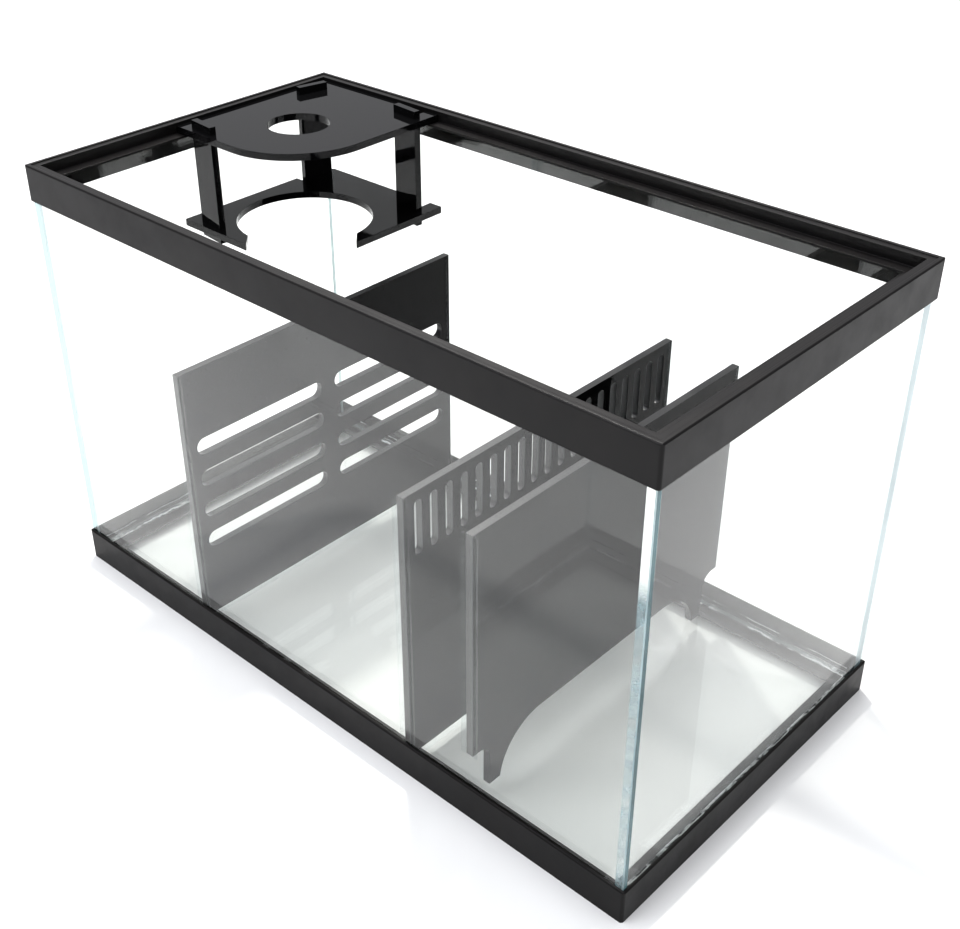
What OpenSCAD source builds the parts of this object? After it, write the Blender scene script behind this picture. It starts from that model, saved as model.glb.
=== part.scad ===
// Rimmed glass sump tank with three fixed baffles and a lift-out sock holder.
// Millimetres. Origin at the middle of the base, X along the length, +Z up.

/* [Tank] */
// Overall length over the plastic frames
tank_length = 514.35; // [500:0.05:530]
// Overall width over the plastic frames
tank_width = 266.7; // [262:0.05:275]
// Overall height to the top of the upper frame
tank_height = 319.1; // [310:0.1:330]
// Thickness of every glass pane
glass_thickness = 3.2; // [3:0.1:4]

/* [Frames] */
// Height of the upper frame's skirt
rim_height = 24.9; // [22:0.1:28]
// Width of the flat band on top of the upper frame
rim_band = 7.6; // [7:0.1:9]
// Depth of the lid recess below the band
recess_depth = 8.1; // [7:0.1:9]
// Width of the lid ledge
ledge_width = 8.5; // [6:0.1:9]
// Height of the lower frame's skirt
base_height = 24.8; // [20:0.1:28]
// Thickness of the frame's outer skirts
skirt_wall = 1.8; // [1.6:0.1:2]

/* [Baffles] */
// Thickness of the black acrylic sheet
sheet = 5; // [4.5:0.1:5.5]
// Height of every baffle
baffle_height = 196.85; // [190:0.05:205]
// Width of every baffle
baffle_width = 255.5; // [254:0.1:256]
// Left face of the slotted baffle
slotted_x = -125.6; // [-130:0.1:-120]
// Left face of the comb baffle
comb_x = 80.5; // [70:0.1:85]
// Left face of the arched baffle
arched_x = 133.3; // [125:0.1:145]
// Length of one slot in the slotted baffle
slot_length = 112.7; // [100:0.1:113]
// Height of one slot in the slotted baffle
slot_height = 12.7; // [10:0.1:14]
// Upright slits in the comb baffle
comb_slits = 19; // [15:2:19]
// Height of one slit
slit_height = 38.1; // [30:0.1:45]
// Underside of the arched baffle
arch_height = 45.5; // [42:0.1:60]

/* [Sock holder] */
// Radius of the pipe hole in the top plate
pipe_hole_r = 22.5; // [18:0.1:26]
// Radius of the sock seat in the lower plate
seat_r = 50; // [47:0.1:51]
// Width of the mouth cut from the seat to the free corner
mouth_width = 78; // [60:1:84]
// Top of the lower plate above the base
lower_plate_z = 245.5; // [235:0.5:260]
// Width of one post
post_width = 23.6; // [20:0.1:24]
// Height of the post tabs above the top plate
tab_height = 5.2; // [4:0.1:8]
// Length of the post tabs below the lower plate
tab_drop = 5.8; // [2:0.1:8]

/* [Hidden] */
$fn = 96;
over = 1;
joint_gap = 0.3;
band_thickness = 1.8;
lip_width = 3;
lip_step = 0.7;
edge_bevel = 0.8;
frame_corner_r = 2;
ledge_thickness = 1.6;
pane_gap = 0.05;
shelf_low = 6.4;
shelf_high = 8;
shelf_width = 17;
foot_width = 5;

pane_out_x = tank_length / 2 - skirt_wall - pane_gap;
pane_out_y = tank_width / 2 - skirt_wall - pane_gap;
pane_in_x = pane_out_x - glass_thickness;
pane_in_y = pane_out_y - glass_thickness;
band_low = tank_height - lip_step - band_thickness;
recess_x = tank_length / 2 - rim_band;
recess_y = tank_width / 2 - rim_band;
ledge_x = recess_x - ledge_width;
ledge_y = recess_y - ledge_width;
ledge_top = tank_height - recess_depth;
ledge_low = ledge_top - ledge_thickness;
floor_z = shelf_high + glass_thickness;
baffle_low = floor_z + joint_gap;
baffle_top = baffle_low + baffle_height;

wall_bead = 5;
baffle_bead = 4;
bead_lip = 0.4;
bead_steps = 6;

slot_rows = 4;
slot_pitch = 25.4;
slot_top_row = 59.3;
slot_rib = 12.7;
slit_width = 6.35;
slit_pitch = 12.9;
slit_top_rib = 6.35;
arch_half = 102.7;
arch_round = 38.1;
leg_outer = 112.5;
notch_round = 10;

holder_x = -188;
holder_y = 45.8;
plate_margin = 60.8;
top_plate_low = ledge_top + joint_gap;
top_plate_high = top_plate_low + sheet;
top_plate_left = -recess_x + 0.4;
top_plate_back = recess_y - 0.4;
lower_plate_low = lower_plate_z - sheet;
lower_plate_left = -pane_in_x + 0.95;
lower_plate_back = pane_in_y - 1.1;
corner_clip = 7;
plate_right = holder_x + plate_margin;
plate_front = holder_y - plate_margin;
mouth_reach = 120;
back_notch_x = [-152, -138.5];
back_notch_y = 111;
side_notch_y = [93.5, 105.5];
side_notch_x = -236.5;
post_low = lower_plate_low - tab_drop;
post_high = top_plate_high + tab_height;
front_post_at = [-227.2, -7.8];
front_post_turn = -6;
back_post_at = [-144.4, 110.6];
back_post_turn = -6;
side_post_at = [-235.6, 101.3];
side_post_turn = 78;

// ---- shared shapes ----

module block(x_span, y_span, z_span) {
  translate([x_span[0], y_span[0], z_span[0]])
    cube([x_span[1] - x_span[0], y_span[1] - y_span[0],
      z_span[1] - z_span[0]]);
}

module centred_block(half_x, half_y, z_span) {
  block([-half_x, half_x], [-half_y, half_y], z_span);
}

module rounded_block(half_x, half_y, z_span, r) {
  centred_block(half_x - r, half_y, z_span);
  centred_block(half_x, half_y - r, z_span);
  for (sx = [-1, 1])
    for (sy = [-1, 1])
      translate([sx * (half_x - r), sy * (half_y - r), z_span[0]])
        cylinder(r = r, h = z_span[1] - z_span[0]);
}

// a rectangular ring between an outer and an inner half size
module ring(outer, inner, z_span) {
  difference() {
    centred_block(outer[0], outer[1], z_span);
    centred_block(inner[0], inner[1], [z_span[0] - over, z_span[1] + over]);
  }
}

// a skirt whose four outer corners are rounded
module skirt(z_span) {
  difference() {
    rounded_block(tank_length / 2, tank_width / 2, z_span, frame_corner_r);
    centred_block(tank_length / 2 - skirt_wall, tank_width / 2 - skirt_wall,
      [z_span[0] - over, z_span[1] + over]);
  }
}

// bars that bevel the long and short outer edges at height z
module edge_cut(z) {
  side = edge_bevel * sqrt(2);
  for (s = [-1, 1]) {
    translate([-tank_length, s * tank_width / 2, z])
      rotate([45, 0, 0])
        translate([0, -side / 2, -side / 2])
          cube([tank_length * 2, side, side]);
    translate([s * tank_length / 2, -tank_width, z])
      rotate([0, 45, 0])
        translate([-side / 2, 0, -side / 2])
          cube([side, tank_width * 2, side]);
  }
}

// hollow-faced sealant bead, corner of the bead at the origin, along +Z
module bead(leg, length) {
  arc = [for (i = [0:bead_steps])
    let (a = 270 - 90 * i / bead_steps)
      [leg + (leg - bead_lip) * cos(a), leg + (leg - bead_lip) * sin(a)]];
  linear_extrude(height = length)
    polygon(concat([[0, 0], [leg, 0]], arc, [[0, leg]]));
}

// a flat sheet outline drawn in Y and Z, standing with its left face at x
module standing_sheet(x) {
  translate([x, 0, 0])
    rotate([90, 0, 90])
      linear_extrude(height = sheet)
        children();
}

module baffle_outline() {
  translate([-baffle_width / 2, baffle_low])
    square([baffle_width, baffle_height]);
}

module stadium(length, height) {
  r = min(length, height) / 2;
  if (length > height) {
    square([length - 2 * r, height], center = true);
    for (s = [-1, 1])
      translate([s * (length / 2 - r), 0])
        circle(r = r);
  } else {
    square([length, height - 2 * r], center = true);
    for (s = [-1, 1])
      translate([0, s * (height / 2 - r)])
        circle(r = r);
  }
}

// ---- frames ----

module top_frame() {
  color([0.09, 0.09, 0.10])
    difference() {
      union() {
        skirt([tank_height - rim_height, tank_height]);
        ring([tank_length / 2 - 1, tank_width / 2 - 1],
          [tank_length / 2 - lip_width, tank_width / 2 - lip_width],
          [band_low, tank_height]);
        ring([tank_length / 2 - 1, tank_width / 2 - 1],
          [recess_x, recess_y], [band_low, band_low + band_thickness]);
        ring([pane_in_x - pane_gap, pane_in_y - pane_gap],
          [recess_x, recess_y], [ledge_low, band_low + over]);
        ring([pane_in_x - pane_gap, pane_in_y - pane_gap],
          [ledge_x, ledge_y], [ledge_low, ledge_top]);
      }
      edge_cut(tank_height);
    }
}

module bottom_frame() {
  foot_in_x = tank_length / 2 - foot_width;
  foot_in_y = tank_width / 2 - foot_width;
  shelf_in_x = tank_length / 2 - shelf_width;
  shelf_in_y = tank_width / 2 - shelf_width;
  color([0.09, 0.09, 0.10])
    difference() {
      union() {
        skirt([0, base_height]);
        ring([tank_length / 2 - 1, tank_width / 2 - 1],
          [foot_in_x, foot_in_y], [0, shelf_high]);
        ring([tank_length / 2 - 1, tank_width / 2 - 1],
          [shelf_in_x, shelf_in_y], [shelf_low, shelf_high]);
      }
      edge_cut(base_height);
      for (sx = [-1, 1])
        for (sy = [-1, 1])
          translate([sx * tank_length / 2, sy * tank_width / 2, -over])
            rotate([0, 0, 45])
              centred_block(edge_bevel * 1.2, edge_bevel * 1.2,
                [0, shelf_high]);
    }
}

// ---- glass ----

module long_pane(side) {
  edges = [side * pane_in_y, side * pane_out_y];
  color([0.80, 0.90, 0.88, 0.35])
    block([-pane_out_x, pane_out_x], [min(edges), max(edges)],
      [shelf_high, band_low]);
}

module short_pane(side) {
  edges = [side * pane_in_x, side * pane_out_x];
  color([0.80, 0.90, 0.88, 0.35])
    block([min(edges), max(edges)], [-pane_in_y, pane_in_y],
      [shelf_high, band_low]);
}

module front_pane() {
  long_pane(-1);
}

module back_pane() {
  long_pane(1);
}

module left_pane() {
  short_pane(-1);
}

module right_pane() {
  short_pane(1);
}

module bottom_pane() {
  color([0.80, 0.90, 0.88, 0.35])
    centred_block(pane_in_x, pane_in_y, [shelf_high, floor_z]);
}

// ---- sealant ----

module corner_seal(sx, sy) {
  turn = sy < 0 ? (sx < 0 ? 0 : 90) : (sx < 0 ? -90 : 180);
  color([0.85, 0.88, 0.87, 0.6])
    translate([sx * pane_in_x, sy * pane_in_y, floor_z])
      rotate([0, 0, turn])
        bead(wall_bead, ledge_low - floor_z);
}

module corner_seal_front_left() {
  corner_seal(-1, -1);
}

module corner_seal_front_right() {
  corner_seal(1, -1);
}

module corner_seal_back_left() {
  corner_seal(-1, 1);
}

module corner_seal_back_right() {
  corner_seal(1, 1);
}

module baffle_slabs() {
  for (x = [slotted_x, comb_x, arched_x])
    block([x, x + sheet], [-tank_width, tank_width],
      [0, tank_height]);
}

module long_floor_seal(side) {
  run = 2 * (pane_in_x - wall_bead);
  color([0.85, 0.88, 0.87, 0.6])
    difference() {
      translate([side * run / 2, side * pane_in_y, floor_z])
        rotate([0, 0, side < 0 ? 0 : 180])
          rotate([90, 0, 90])
            bead(wall_bead, run);
      baffle_slabs();
    }
}

module short_floor_seal(side) {
  run = 2 * (pane_in_y - wall_bead);
  color([0.85, 0.88, 0.87, 0.6])
    translate([side * pane_in_x, side * -run / 2, floor_z])
      rotate([0, 0, side < 0 ? -90 : 90])
        rotate([90, 0, 90])
          bead(wall_bead, run);
}

module floor_seal_front() {
  long_floor_seal(-1);
}

module floor_seal_back() {
  long_floor_seal(1);
}

module floor_seal_left() {
  short_floor_seal(-1);
}

module floor_seal_right() {
  short_floor_seal(1);
}

// beads up both walls on both faces of a baffle, from z_low to its top
module upright_beads(x, z_low) {
  for (sy = [-1, 1]) {
    translate([x, sy * pane_in_y, z_low])
      rotate([0, 0, sy < 0 ? 90 : 180])
        bead(baffle_bead, baffle_top - z_low);
    translate([x + sheet, sy * pane_in_y, z_low])
      rotate([0, 0, sy < 0 ? 0 : -90])
        bead(baffle_bead, baffle_top - z_low);
  }
}

// beads along the floor on both faces of a baffle
module foot_beads(x) {
  half_run = pane_in_y - wall_bead;
  translate([x, -half_run, floor_z])
    rotate([90, 0, 180])
      bead(baffle_bead, 2 * half_run);
  translate([x + sheet, half_run, floor_z])
    rotate([90, 0, 0])
      bead(baffle_bead, 2 * half_run);
}

module slotted_baffle_seal() {
  color([0.85, 0.88, 0.87, 0.6]) {
    upright_beads(slotted_x, floor_z + wall_bead);
    foot_beads(slotted_x);
  }
}

module comb_baffle_seal() {
  color([0.85, 0.88, 0.87, 0.6]) {
    upright_beads(comb_x, floor_z + wall_bead);
    foot_beads(comb_x);
  }
}

module arched_baffle_seal() {
  color([0.85, 0.88, 0.87, 0.6])
    upright_beads(arched_x, arch_height);
}

// ---- baffles ----

module slotted_baffle() {
  slot_y = slot_rib / 2 + slot_length / 2;
  color([0.05, 0.05, 0.055])
    standing_sheet(slotted_x)
      difference() {
        baffle_outline();
        for (side = [-1, 1])
          for (row = [0:slot_rows - 1])
            translate([side * slot_y,
              baffle_top - slot_top_row - row * slot_pitch])
              stadium(slot_length, slot_height);
      }
}

module comb_baffle() {
  slit_z = baffle_top - slit_top_rib - slit_height / 2;
  color([0.05, 0.05, 0.055])
    standing_sheet(comb_x)
      difference() {
        baffle_outline();
        for (i = [0:comb_slits - 1])
          translate([(i - (comb_slits - 1) / 2) * slit_pitch, slit_z])
            stadium(slit_width, slit_height);
      }
}

// the water way under the arched baffle, with rounded upper corners
module arch_cut() {
  translate([-arch_half, 0])
    square([2 * arch_half, arch_height - arch_round]);
  translate([-arch_half + arch_round, 0])
    square([2 * (arch_half - arch_round), arch_height]);
  for (s = [-1, 1])
    translate([s * (arch_half - arch_round), arch_height - arch_round])
      circle(r = arch_round);
}

module side_notch_cut(side) {
  mirror([side < 0 ? 1 : 0, 0]) {
    translate([leg_outer, 0])
      square([tank_width, arch_height - notch_round]);
    translate([leg_outer + notch_round, 0])
      square([tank_width, arch_height]);
    translate([leg_outer + notch_round, arch_height - notch_round])
      circle(r = notch_round);
  }
}

module arched_baffle() {
  color([0.05, 0.05, 0.055])
    standing_sheet(arched_x)
      difference() {
        baffle_outline();
        arch_cut();
        side_notch_cut(-1);
        side_notch_cut(1);
      }
}

// ---- lift-out sock holder ----

module post(at, turn) {
  translate([at[0], at[1], post_low])
    rotate([0, 0, turn])
      translate([-post_width / 2, -sheet / 2, 0])
        cube([post_width, sheet, post_high - post_low]);
}

// the slots that the three posts pass through, in plan
module post_slot(at, turn) {
  translate(at)
    rotate(turn)
      square([post_width, sheet], center = true);
}

module all_slots() {
  post_slot(front_post_at, front_post_turn);
  post_slot(back_post_at, back_post_turn);
  post_slot(side_post_at, side_post_turn);
}

module plan_block(x_span, y_span) {
  translate([x_span[0], y_span[0]])
    square([x_span[1] - x_span[0], y_span[1] - y_span[0]]);
}

module holder_top_plate() {
  color([0.05, 0.05, 0.055])
    translate([0, 0, top_plate_low])
      linear_extrude(height = sheet)
        difference() {
          union() {
            plan_block([top_plate_left, holder_x],
              [plate_front, top_plate_back]);
            plan_block([top_plate_left, plate_right],
              [holder_y, top_plate_back]);
            translate([holder_x, holder_y])
              circle(r = plate_margin);
          }
          translate([holder_x, holder_y])
            circle(r = pipe_hole_r);
          plan_block(back_notch_x, [back_notch_y, tank_width]);
          all_slots();
        }
}

module holder_lower_plate() {
  color([0.05, 0.05, 0.055])
    translate([0, 0, lower_plate_low])
      linear_extrude(height = sheet)
        difference() {
          plan_block([lower_plate_left, plate_right],
            [plate_front, lower_plate_back]);
          translate([holder_x, holder_y])
            circle(r = seat_r);
          translate([holder_x, holder_y])
            rotate(-45)
              plan_block([seat_r / 2, mouth_reach],
                [-mouth_width / 2, mouth_width / 2]);
          plan_block(back_notch_x, [back_notch_y, tank_width]);
          plan_block([-tank_length, side_notch_x], side_notch_y);
          translate([lower_plate_left, lower_plate_back])
            rotate(45)
              square(corner_clip * sqrt(2), center = true);
          all_slots();
        }
}

module holder_front_post() {
  color([0.05, 0.05, 0.055])
    post(front_post_at, front_post_turn);
}

module holder_back_post() {
  color([0.05, 0.05, 0.055])
    post(back_post_at, back_post_turn);
}

module holder_side_post() {
  color([0.05, 0.05, 0.055])
    post(side_post_at, side_post_turn);
}

top_frame();
bottom_frame();
front_pane();
back_pane();
left_pane();
right_pane();
bottom_pane();
corner_seal_front_left();
corner_seal_front_right();
corner_seal_back_left();
corner_seal_back_right();
floor_seal_front();
floor_seal_back();
floor_seal_left();
floor_seal_right();
slotted_baffle();
slotted_baffle_seal();
comb_baffle();
comb_baffle_seal();
arched_baffle();
arched_baffle_seal();
holder_top_plate();
holder_lower_plate();
holder_front_post();
holder_back_post();
holder_side_post();
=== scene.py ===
"""Glass sump filter tank: materials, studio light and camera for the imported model."""
import math

import bpy
from mathutils import Matrix, Vector

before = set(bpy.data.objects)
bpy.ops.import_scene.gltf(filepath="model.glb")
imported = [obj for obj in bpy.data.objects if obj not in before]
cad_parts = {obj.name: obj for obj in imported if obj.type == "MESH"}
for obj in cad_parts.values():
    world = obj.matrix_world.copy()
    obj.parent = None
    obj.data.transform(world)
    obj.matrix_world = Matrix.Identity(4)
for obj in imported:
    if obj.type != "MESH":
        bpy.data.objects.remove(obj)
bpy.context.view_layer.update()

MM = 0.001

# Camera, in metres, degrees and millimetres of sensor
CAMERA_PLACE = (0.54506, -0.57117, 0.64378)
CAMERA_AZIMUTH = 44.03
CAMERA_ELEVATION = 32.575
CAMERA_ROLL = -0.841
CAMERA_LENS = 51.88
CAMERA_SENSOR = 36.0
CAMERA_SHIFT = (0.0395, -0.0083)

# Lamps, in metres and watts
KEY_DIRECTION = (-0.405, 0.375, 1.0)
KEY_DISTANCE = 1.9
KEY_SIZE = 0.11
KEY_POWER = 19.0
KEY_COLOR = (1.0, 0.975, 0.94)
FILL_PLACE = (-0.45, -1.5, 3.0)
FILL_SIZE = 2.0
FILL_POWER = 44.0
FILL_COLOR = (0.94, 0.96, 1.0)

# Room light: bright overhead, with a soft glow low at the back left, which the black
# plates mirror
HORIZON_COLOR = (0.16, 0.16, 0.17)
OVERHEAD_COLOR = (1.74, 1.75, 1.78)
OVERHEAD_FOCUS = 3.0
GLOW_DIRECTION = (-0.66, 0.52, 0.55)
GLOW_FOCUS = 5.0
GLOW_STRENGTH = 0.26

# Table
FLOOR_SIZE = 12.0
FLOOR_COLOR = (0.80, 0.80, 0.80)
FLOOR_PALE_COLOR = (0.83, 0.83, 0.83)
FLOOR_PATCH = 0.25
FLOOR_ROUGHNESS = 0.7
FLOOR_SHEEN = 0.15

# Glass. Each pane has the number of the axis it faces along.
GLASS_IOR = 1.5
GLASS_COLOR = (0.992, 0.998, 0.991)
GLASS_NODES = {
    "front_pane": 1,
    "back_pane": 1,
    "left_pane": 0,
    "right_pane": 0,
    "bottom_pane": 2,
}
FILM_COLOR = (0.8, 0.82, 0.82)
FILM_PATCH = 45 * MM
FILM_COVER = 0.012
RIPPLE_LENGTH = 60 * MM
RIPPLE_DEPTH = 0.04 * MM
RIPPLE_STRENGTH = 0.25
CUT_GLASS_ROUGHNESS = 0.18
CUT_GLASS_STREAK = 10 * MM
CUT_GLASS_ENDS = (-0.2, 0.2)
# The cut edges: dark tint, pale tint, colour let through, and the share of solid tint
# at the tank's left end and at its right end
EDGE_LOOKS = {
    "front_pane": (
        (0.03, 0.07, 0.075), (0.16, 0.28, 0.30), (0.62, 0.80, 0.82), 0.25, 0.8,
    ),
    "back_pane": (
        (0.40, 0.46, 0.44), (0.72, 0.80, 0.78), (0.92, 0.97, 0.95), 0.3, 0.3,
    ),
    "left_pane": (
        (0.34, 0.45, 0.48), (0.66, 0.80, 0.84), (0.88, 0.95, 0.96), 0.6, 0.6,
    ),
    "right_pane": (
        (0.32, 0.42, 0.48), (0.68, 0.82, 0.88), (0.84, 0.93, 0.95), 0.68, 0.68,
    ),
    "bottom_pane": (
        (0.40, 0.50, 0.50), (0.70, 0.80, 0.80), (0.85, 0.94, 0.94), 0.6, 0.6,
    ),
}

# Clear silicone
SILICONE_IOR = 1.41
SILICONE_COLOR = (0.98, 0.99, 0.99)
SILICONE_TINTS = ((0.86, 0.91, 0.92), (0.97, 0.99, 0.99))
SILICONE_CLOUD = 12 * MM
SILICONE_SKIN = 9 * MM
SILICONE_SKIN_DEPTH = 0.5 * MM
SILICONE_SHEEN = 0.6
SILICONE_SHEEN_ROUGHNESS = 0.10
NEAR_CORNER_TINTS = ((0.40, 0.60, 0.68), (0.66, 0.84, 0.90))
NEAR_CORNER_MIRROR_FROM = 0.235
# The mirror-bright zone fades in from this far below its start to this far above
MIRROR_FADE = (12 * MM, 6 * MM)
MIRROR_SHARE = 0.92
MIRROR_COLOR = (0.96, 0.99, 0.98)
MIRROR_ROUGHNESS = 0.25
# Heights of the feathered edges of the bead round the floor, where broken bright lines are
# painted on as glints
PAINTED_GLINT_HEIGHTS = (11.7 * MM, 15.8 * MM)
# A painted glint line is at its brightest this near its middle and gone this far from it
GLINT_HALF_WIDTHS = (0.12 * MM, 0.38 * MM)
GLINT_WAVER = 0.6 * MM
GLINT_WAVE_LENGTH = 20 * MM
GLINT_BREAK_LENGTH = 30 * MM

# Black moulded plastic
PLASTIC_IOR = 1.5
PLASTIC_COLOR = (0.008, 0.008, 0.009)
PLASTIC_WORN_COLOR = (0.016, 0.014, 0.013)
PLASTIC_ROUGHNESS = (0.30, 0.42)
PLASTIC_WEAR = 30 * MM
PLASTIC_PATCH = 18 * MM
PLASTIC_EDGE = 0.7 * MM
GRAIN_SIZE = 0.8 * MM
GRAIN_DEPTH = 0.015 * MM
SINK_LENGTH = 35 * MM
SINK_DEPTH = 0.4 * MM
TOP_FRAME_GLOSS = 0.25
BOTTOM_FRAME_GLOSS = 0.17

# Black acrylic sheet
ACRYLIC_IOR = 1.49
ACRYLIC_COLOR = (0.005, 0.005, 0.0054)
ACRYLIC_ROUGHNESS = (0.035, 0.09)
ACRYLIC_EDGE = 0.35 * MM
ACRYLIC_WAVE_LENGTH = 50 * MM
ACRYLIC_WAVE_DEPTH = 0.2 * MM
DUST_COLOR = (0.03, 0.03, 0.032)
DUST_SIZE = 1.6 * MM
SCRATCH_WIDTH = 2 * MM
SAWN_COLOR = (0.022, 0.022, 0.023)
SAWN_ROUGHNESS = 0.28
SAWN_GLOSS = 0.8
BAFFLE_GLOSS = 0.15
HOLDER_GLOSS = 0.32
BAFFLE_NODES = ("slotted_baffle", "comb_baffle", "arched_baffle")
BAFFLE_FACING_AXIS = 0
HOLDER_NODES = (
    "holder_top_plate",
    "holder_lower_plate",
    "holder_front_post",
    "holder_back_post",
    "holder_side_post",
)

# A face is taken to face along an axis when its normal's share of it is over this
FACING_SHARE = 0.5


class Shader:
    """A material's node tree, built by name."""

    def __init__(self, tree):
        self.tree = tree
        tree.nodes.clear()

    def set(self, node, inputs):
        for key, value in inputs.items():
            socket = node.inputs[key]
            if isinstance(value, bpy.types.NodeSocket):
                self.tree.links.new(value, socket)
            else:
                socket.default_value = value

    def add(self, kind, inputs=None, **settings):
        node = self.tree.nodes.new("ShaderNode" + kind)
        for key, value in settings.items():
            setattr(node, key, value)
        self.set(node, inputs or {})
        return node

    def math(self, operation, first, second=0.0):
        return self.add("Math", {0: first, 1: second}, operation=operation).outputs[0]

    def mix(self, factor, first, second):
        return self.add("MixShader", {0: factor, 1: first, 2: second}).outputs[0]

    def color_mix(self, factor, first, second):
        colors = {0: factor, 6: (*first, 1), 7: (*second, 1)}
        return self.add("Mix", colors, data_type="RGBA").outputs[2]

    def spread(self, value, low, high, new_low, new_high):
        ends = {0: value, 1: low, 2: high, 3: new_low, 4: new_high}
        return self.add("MapRange", ends).outputs[0]

    def place(self, stretch=(1, 1, 1)):
        """Object coordinates, in metres, stretched."""
        coordinates = self.add("TexCoord").outputs["Object"]
        return self.add("Mapping", {0: coordinates, 3: stretch}).outputs[0]

    def part(self, vector, axis):
        return self.add("SeparateXYZ", {0: vector}).outputs[axis]

    def noise(self, size, detail=4.0, roughness=0.55, stretch=(1, 1, 1)):
        """Noise whose features are about size metres across."""
        inputs = {
            "Vector": self.place(stretch),
            "Scale": 1.0 / size,
            "Detail": detail,
            "Roughness": roughness,
        }
        return self.add("TexNoise", inputs).outputs["Fac"]

    def soft_edge(self, radius, samples):
        return self.add("Bevel", {"Radius": radius}, samples=samples).outputs[0]

    def bump(self, height, distance, strength=1.0, normal=None):
        inputs = {"Height": height, "Distance": distance, "Strength": strength}
        if normal is not None:
            inputs["Normal"] = normal
        return self.add("Bump", inputs).outputs[0]

    def clear(self, color):
        return self.add("BsdfTransparent", {"Color": (*color, 1)}).outputs[0]

    def solid(self, color, roughness, ior, gloss=0.5, normal=None):
        inputs = {
            "Base Color": color,
            "Roughness": roughness,
            "IOR": ior,
            "Specular IOR Level": gloss,
        }
        if normal is not None:
            inputs["Normal"] = normal
        return self.add("BsdfPrincipled", inputs).outputs[0]

    def facing(self, axis):
        """One where the face looks along the axis, either way, and zero elsewhere."""
        normal = self.add("NewGeometry").outputs["Normal"]
        share = self.math("ABSOLUTE", self.part(normal, axis))
        return self.math("GREATER_THAN", share, FACING_SHARE)

    def fresnel(self, ior):
        """Reflectance of a clear face, the same from either side of it."""
        facing = self.add("LayerWeight", {"Blend": 0.5}).outputs["Facing"]
        c = self.math("SUBTRACT", 1.0, facing)
        c_squared = self.math("MULTIPLY", c, c)
        g = self.math("SQRT", self.math("ADD", c_squared, ior * ior - 1.0))
        total = self.math("ADD", g, c)
        gap = self.math("SUBTRACT", g, c)
        a = self.math("DIVIDE", gap, total)
        top = self.math("SUBTRACT", self.math("MULTIPLY", c, total), 1.0)
        bottom = self.math("ADD", self.math("MULTIPLY", c, gap), 1.0)
        b = self.math("DIVIDE", top, bottom)
        a_half = self.math("MULTIPLY", self.math("MULTIPLY", a, a), 0.5)
        b_side = self.math("ADD", self.math("MULTIPLY", b, b), 1.0)
        return self.math("MULTIPLY", a_half, b_side)

    def finish(self, surface):
        self.add("OutputMaterial", {"Surface": surface})


def material(name):
    made = bpy.data.materials.new(name)
    made.use_nodes = True
    return made, Shader(made.node_tree)


def dress(node, made):
    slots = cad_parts[node].data.materials
    slots.clear()
    slots.append(made)


# ---------------------------------------------------------------- materials

def glass_material(node, axis):
    """Clear float glass: thin clear faces, and tinted where a cut edge shows."""
    made, s = material("float_glass_" + node)
    dirt = s.noise(FILM_PATCH, 6.0, 0.65, (1.0, 1.0, 0.35))
    film = s.spread(dirt, 0.50, 0.85, 0.0, FILM_COVER)
    ripple = s.bump(s.noise(RIPPLE_LENGTH, 1.0), RIPPLE_DEPTH, RIPPLE_STRENGTH)
    shine = s.add("BsdfGlossy", {"Color": (1, 1, 1, 1), "Roughness": 0.0, "Normal": ripple})
    face = s.mix(s.fresnel(GLASS_IOR), s.clear(GLASS_COLOR), shine.outputs[0])
    smear = s.add("BsdfDiffuse", {"Color": (*FILM_COLOR, 1)}).outputs[0]
    face = s.mix(film, face, smear)

    dark, pale, through, left_share, right_share = EDGE_LOOKS[node]
    streak = s.noise(CUT_GLASS_STREAK, 4.0, 0.6, (1.0, 1.0, 0.08))
    tint = s.color_mix(s.spread(streak, 0.35, 0.65, 0.0, 1.0), dark, pale)
    cut = s.solid(tint, CUT_GLASS_ROUGHNESS, GLASS_IOR)
    share = s.spread(s.part(s.place(), 0), *CUT_GLASS_ENDS, left_share, right_share)
    edge = s.mix(share, s.clear(through), cut)
    s.finish(s.mix(s.facing(axis), edge, face))
    return made


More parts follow.
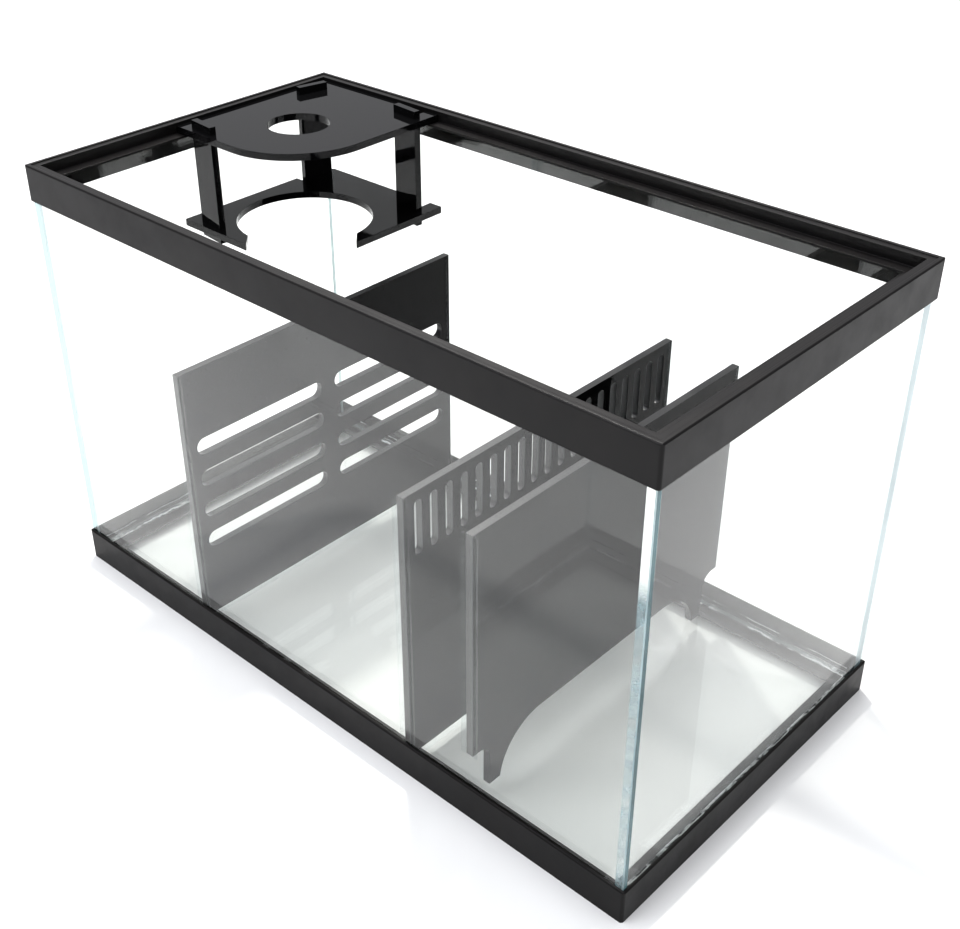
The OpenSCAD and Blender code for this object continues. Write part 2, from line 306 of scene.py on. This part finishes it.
def sealant_material(name, cloudy, glint_heights=(), mirror_from=None, tints=SILICONE_TINTS):
    """Clear silicone: nearly clear, with an uneven skin.

    glint_heights are heights where the bead's feathered edge gets a painted glint, a broken
    bright line, and mirror_from is the height from which the strip mirrors the light.
    """
    made, s = material(name)
    cloud = s.noise(SILICONE_CLOUD, 4.0)
    skin = s.bump(s.noise(SILICONE_SKIN, 3.0), SILICONE_SKIN_DEPTH, 0.5)
    tinted = {"Color": s.color_mix(cloud, *tints), "Normal": skin}
    lit_through = s.add("BsdfTranslucent", tinted).outputs[0]
    lit_in_front = s.add("BsdfDiffuse", tinted).outputs[0]
    body = s.mix(0.5, lit_through, lit_in_front)

    cloud_and_glint = s.spread(cloud, 0.35, 0.65, cloudy * 0.4, cloudy * 1.6)
    height = s.part(s.place(), 2)
    waver = s.spread(s.noise(GLINT_WAVE_LENGTH, 3.0), 0.3, 0.7, -GLINT_WAVER, GLINT_WAVER)
    wavy = s.math("ADD", height, waver)
    broken = s.spread(s.noise(GLINT_BREAK_LENGTH, 4.0, 0.6), 0.42, 0.50, 0.05, 0.95)
    # Painted glints: broken bright lines of whiter silicone at the given heights, on top of
    # the random cloudiness
    for line in glint_heights:
        away = s.math("ABSOLUTE", s.math("SUBTRACT", wavy, line))
        near = s.spread(away, *GLINT_HALF_WIDTHS, 1.0, 0.0)
        cloud_and_glint = s.math("MAXIMUM", cloud_and_glint, s.math("MULTIPLY", near, broken))
    body = s.mix(cloud_and_glint, s.clear(SILICONE_COLOR), body)

    if mirror_from is not None:
        look = {"Color": (*MIRROR_COLOR, 1), "Roughness": MIRROR_ROUGHNESS}
        mirror = s.add("BsdfGlossy", look).outputs[0]
        below, above = MIRROR_FADE
        share = s.spread(height, mirror_from - below, mirror_from + above, 0.0, MIRROR_SHARE)
        body = s.mix(share, body, mirror)
    sheen = {"Roughness": SILICONE_SHEEN_ROUGHNESS, "Normal": skin}
    shine = s.add("BsdfGlossy", sheen).outputs[0]
    gloss = s.math("MULTIPLY", s.fresnel(SILICONE_IOR), SILICONE_SHEEN)
    s.finish(s.mix(gloss, body, shine))
    return made


def frame_material(name, gloss):
    """Satin black injection moulding with a fine grain and soft edges."""
    made, s = material(name)
    tint = s.color_mix(s.noise(PLASTIC_WEAR, 5.0, 0.6), PLASTIC_COLOR, PLASTIC_WORN_COLOR)
    rough = s.spread(s.noise(PLASTIC_PATCH, 5.0, 0.6), 0.3, 0.7, *PLASTIC_ROUGHNESS)
    soft = s.soft_edge(PLASTIC_EDGE, 6)
    grain = s.bump(s.noise(GRAIN_SIZE, 3.0), GRAIN_DEPTH, 0.5, soft)
    sink = s.bump(s.noise(SINK_LENGTH, 2.0), SINK_DEPTH, 0.25, grain)
    s.finish(s.solid(tint, rough, PLASTIC_IOR, gloss, sink))
    return made


def acrylic_material(name, gloss, sheet_axis=None):
    """Polished black sheet with hairline scratches, a trace of dust and eased edges.

    sheet_axis is the axis a flat sheet faces along, when its sawn edges look paler.
    """
    made, s = material(name)
    dust = s.spread(s.noise(DUST_SIZE, 6.0, 0.7), 0.62, 0.75, 0.0, 1.0)
    tint = s.color_mix(dust, ACRYLIC_COLOR, DUST_COLOR)
    scratch = s.noise(SCRATCH_WIDTH, 3.0, 0.6, (1.0, 1.0, 0.04))
    rough = s.spread(scratch, 0.4, 0.8, *ACRYLIC_ROUGHNESS)
    soft = s.soft_edge(ACRYLIC_EDGE, 4)
    wave = s.bump(s.noise(ACRYLIC_WAVE_LENGTH, 2.0), ACRYLIC_WAVE_DEPTH, 0.15, soft)
    sheet = s.solid(tint, rough, ACRYLIC_IOR, gloss, wave)
    if sheet_axis is not None:
        sawn = s.solid((*SAWN_COLOR, 1), SAWN_ROUGHNESS, ACRYLIC_IOR, SAWN_GLOSS, soft)
        sheet = s.mix(s.facing(sheet_axis), sawn, sheet)
    s.finish(sheet)
    return made


def floor_material():
    """Matt white table with a very faint unevenness."""
    made, s = material("white_table")
    shade = s.color_mix(s.noise(FLOOR_PATCH, 4.0), FLOOR_COLOR, FLOOR_PALE_COLOR)
    look = {
        "Base Color": shade,
        "Roughness": FLOOR_ROUGHNESS,
        "Specular IOR Level": FLOOR_SHEEN,
    }
    s.finish(s.add("BsdfPrincipled", look).outputs[0])
    return made


def dress_all():
    for node, axis in GLASS_NODES.items():
        dress(node, glass_material(node, axis))
    corner_sealant = sealant_material("corner_sealant", 0.03)
    near_sealant = sealant_material(
        "near_corner_sealant",
        0.22,
        mirror_from=NEAR_CORNER_MIRROR_FROM,
        tints=NEAR_CORNER_TINTS,
    )
    # The floor bead gets painted glint lines along its feathered edges
    floor_sealant = sealant_material("floor_sealant", 0.06, glint_heights=PAINTED_GLINT_HEIGHTS)
    baffle_sealant = sealant_material("baffle_sealant", 0.03)
    baffle_acrylic = acrylic_material("baffle_acrylic", BAFFLE_GLOSS, BAFFLE_FACING_AXIS)
    holder_acrylic = acrylic_material("holder_acrylic", HOLDER_GLOSS)
    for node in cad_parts:
        if node == "corner_seal_front_right":
            dress(node, near_sealant)
        elif node.startswith("corner_seal"):
            dress(node, corner_sealant)
        elif node.startswith("floor_seal"):
            dress(node, floor_sealant)
        elif node.endswith("_seal"):
            dress(node, baffle_sealant)
    dress("top_frame", frame_material("top_frame_plastic", TOP_FRAME_GLOSS))
    dress("bottom_frame", frame_material("bottom_frame_plastic", BOTTOM_FRAME_GLOSS))
    for node in BAFFLE_NODES:
        dress(node, baffle_acrylic)
    for node in HOLDER_NODES:
        dress(node, holder_acrylic)


# ---------------------------------------------------------------- studio

def add_floor():
    half = FLOOR_SIZE / 2
    mesh = bpy.data.meshes.new("floor")
    corners = [(-half, -half, 0), (half, -half, 0), (half, half, 0), (-half, half, 0)]
    mesh.from_pydata(corners, [], [(0, 1, 2, 3)])
    floor = bpy.data.objects.new("floor", mesh)
    bpy.context.scene.collection.objects.link(floor)
    mesh.materials.append(floor_material())


def add_world():
    world = bpy.data.worlds.new("studio")
    world.use_nodes = True
    s = Shader(world.node_tree)
    direction = s.add("TexCoord").outputs["Generated"]
    rise = s.spread(s.part(direction, 2), 0.0, 1.0, 0.0, 1.0)
    rise = s.math("POWER", rise, OVERHEAD_FOCUS)
    color = s.color_mix(rise, HORIZON_COLOR, OVERHEAD_COLOR)
    sky = s.add("Background", {"Color": color, "Strength": 1.0}).outputs[0]

    ends = {0: direction, 1: Vector(GLOW_DIRECTION).normalized()}
    near = s.add("VectorMath", ends, operation="DOT_PRODUCT").outputs[1]
    glow = s.math("POWER", s.math("MAXIMUM", near, 0.0), GLOW_FOCUS)
    strength = s.math("MULTIPLY", glow, GLOW_STRENGTH)
    look = {"Color": (*OVERHEAD_COLOR, 1), "Strength": strength}
    softbox = s.add("Background", look).outputs[0]

    both = s.add("AddShader", {0: sky, 1: softbox}).outputs[0]
    s.add("OutputWorld", {"Surface": both})
    bpy.context.scene.world = world


def add_light(name, shape, size, power, color, place):
    """An area lamp that aims at the middle of the tank's foot."""
    light = bpy.data.lights.new(name, "AREA")
    light.shape = shape
    light.size = size
    light.energy = power
    light.color = color
    lamp = bpy.data.objects.new(name, light)
    lamp.location = place
    lamp.rotation_euler = Vector(place).to_track_quat("Z", "Y").to_euler()
    bpy.context.scene.collection.objects.link(lamp)


def add_lights():
    key_place = Vector(KEY_DIRECTION).normalized() * KEY_DISTANCE
    add_light("key", "DISK", KEY_SIZE, KEY_POWER, KEY_COLOR, key_place)
    add_light("fill", "SQUARE", FILL_SIZE, FILL_POWER, FILL_COLOR, FILL_PLACE)


def add_camera():
    data = bpy.data.cameras.new("camera")
    data.sensor_width = CAMERA_SENSOR
    data.lens = CAMERA_LENS
    data.shift_x, data.shift_y = CAMERA_SHIFT
    camera = bpy.data.objects.new("camera", data)
    camera.location = CAMERA_PLACE
    tilt = math.radians(90 - CAMERA_ELEVATION)
    turn = math.radians(CAMERA_AZIMUTH)
    roll = math.radians(CAMERA_ROLL)
    upright = Matrix.Rotation(turn, 3, "Z") @ Matrix.Rotation(tilt, 3, "X")
    camera.rotation_euler = (upright @ Matrix.Rotation(roll, 3, "Z")).to_euler()
    bpy.context.scene.collection.objects.link(camera)
    bpy.context.scene.camera = camera


def set_view():
    scene = bpy.context.scene
    scene.view_settings.view_transform = "Standard"
    scene.view_settings.look = "Medium High Contrast"
    scene.cycles.max_bounces = 16
    scene.cycles.transparent_max_bounces = 40
    scene.cycles.glossy_bounces = 6
    scene.cycles.use_denoising = True


dress_all()
add_floor()
add_world()
add_lights()
add_camera()
set_view()
